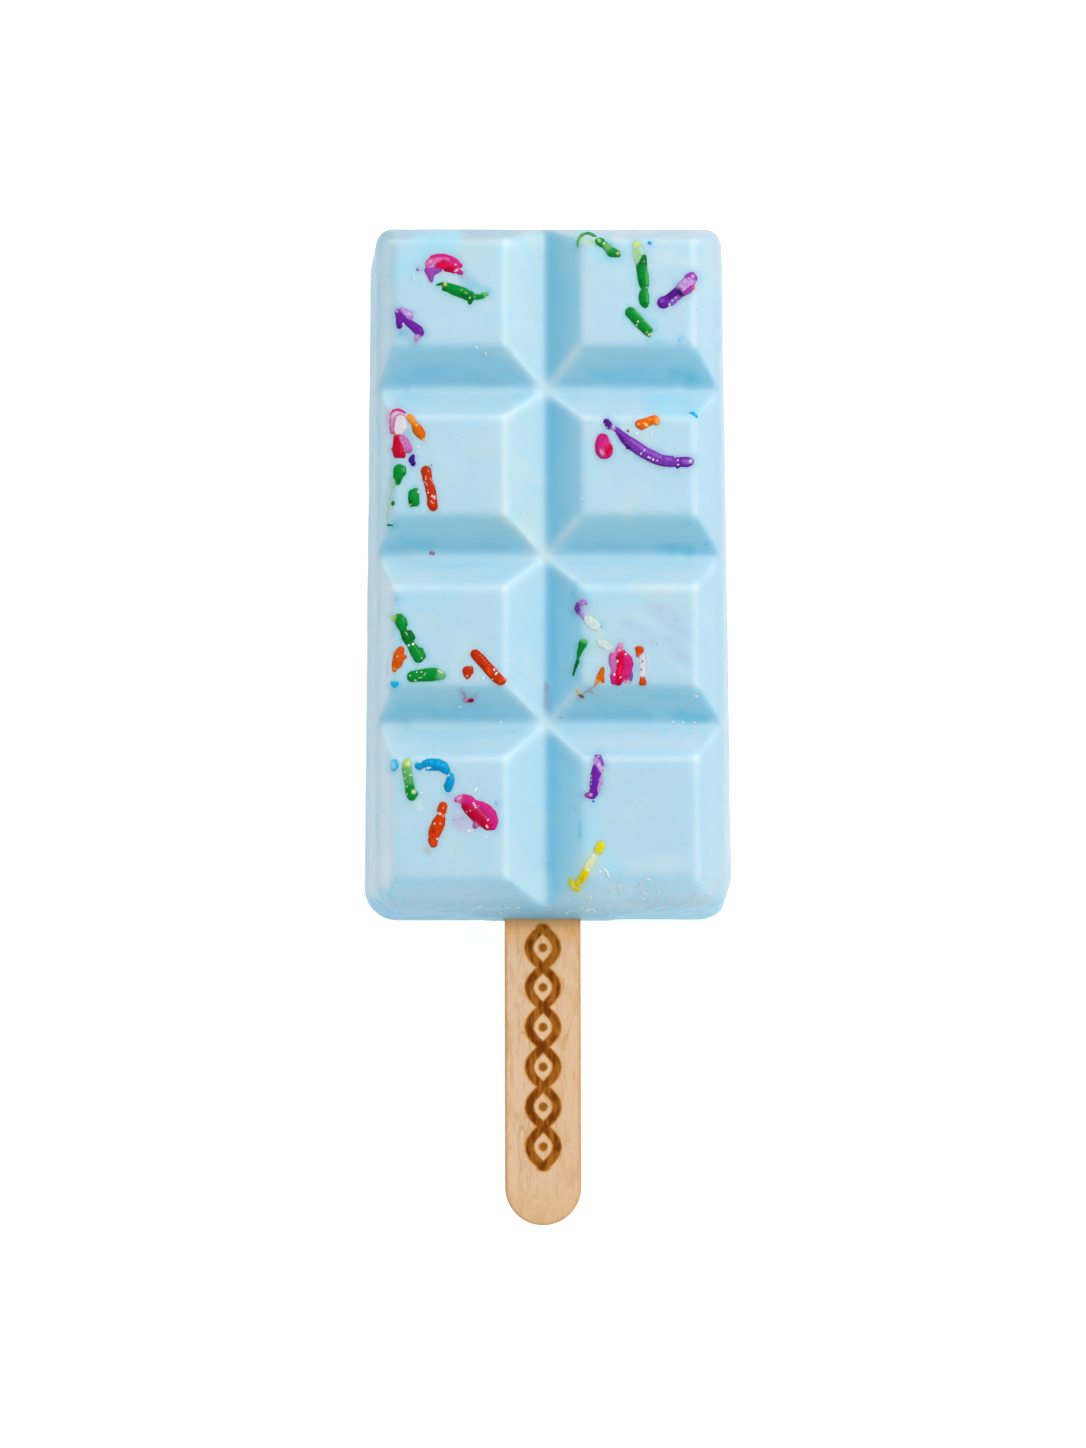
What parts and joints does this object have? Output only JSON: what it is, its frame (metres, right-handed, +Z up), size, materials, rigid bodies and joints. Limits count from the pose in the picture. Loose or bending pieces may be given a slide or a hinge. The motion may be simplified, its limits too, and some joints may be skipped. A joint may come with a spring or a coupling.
{
  "type": "sprinkle ice lollipop",
  "caption": "Pale blue frozen bar moulded like a tablet of bevelled squares, with sugar sprinkles set in its face, on a flat round-ended wooden stick.",
  "frame": {"origin": "bottom centre of the whole lollipop's box, on the surface that the bar's flat back lies on", "axes": "+X to the right seen from above with the stick towards the viewer, +Y from the stick to the bar's far end, +Z up out of the moulded face"},
  "size_m": [0.0506, 0.1326, 0.024],
  "materials": {
    "ice": "milky pale blue ice, waxy satin",
    "stick_wood": "bare pale wood, matt",
    "sprinkle_green": "wet sugar",
    "sprinkle_purple": "wet sugar",
    "sprinkle_pink": "wet sugar",
    "sprinkle_orange": "wet sugar",
    "sprinkle_blue": "wet sugar",
    "sprinkle_yellow": "wet sugar",
    "dye_specks": "small coloured specks under the surface",
    "frost": "white ice crystals"
  },
  "bodies": {
    "root": {"ice_bar": "ice", "stick": "stick_wood"}
  },
  "joints": []
}
